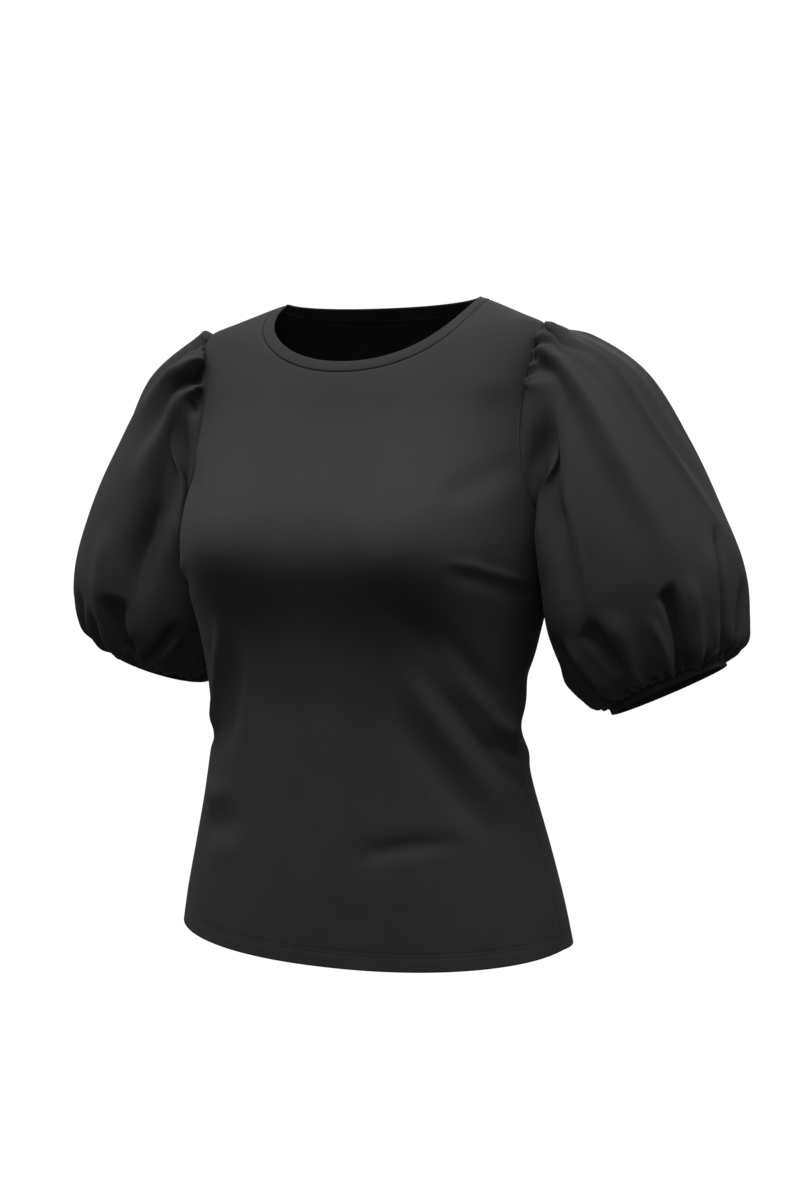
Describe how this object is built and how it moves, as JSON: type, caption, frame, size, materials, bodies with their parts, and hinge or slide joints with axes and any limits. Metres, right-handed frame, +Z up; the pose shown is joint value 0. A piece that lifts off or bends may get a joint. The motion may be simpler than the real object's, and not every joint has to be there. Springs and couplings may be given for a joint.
{
  "type": "puff sleeve t-shirt",
  "caption": "Short-sleeved jersey top in its hollow worn form, with a round neckband, gathered puff sleeves drawn into narrow cuffs, a shaped waist and a flared hem.",
  "frame": {"origin": "midway between the two high shoulder points, level with the neck edge there", "axes": "+Z up, out of the neck; +X towards the garment's own left sleeve; -Y is the front"},
  "size_m": [0.68, 0.2738, 0.5937],
  "materials": {
    "jersey": "smooth matt black knit with a soft sheen",
    "folded_jersey": "the same black knit, folded double"
  },
  "bodies": {
    "root": {"front_panel": "jersey", "back_panel": "jersey", "sleeve_left": "jersey", "sleeve_right": "jersey", "neckband": "folded_jersey", "cuff_left": "folded_jersey", "cuff_right": "folded_jersey"}
  },
  "joints": []
}
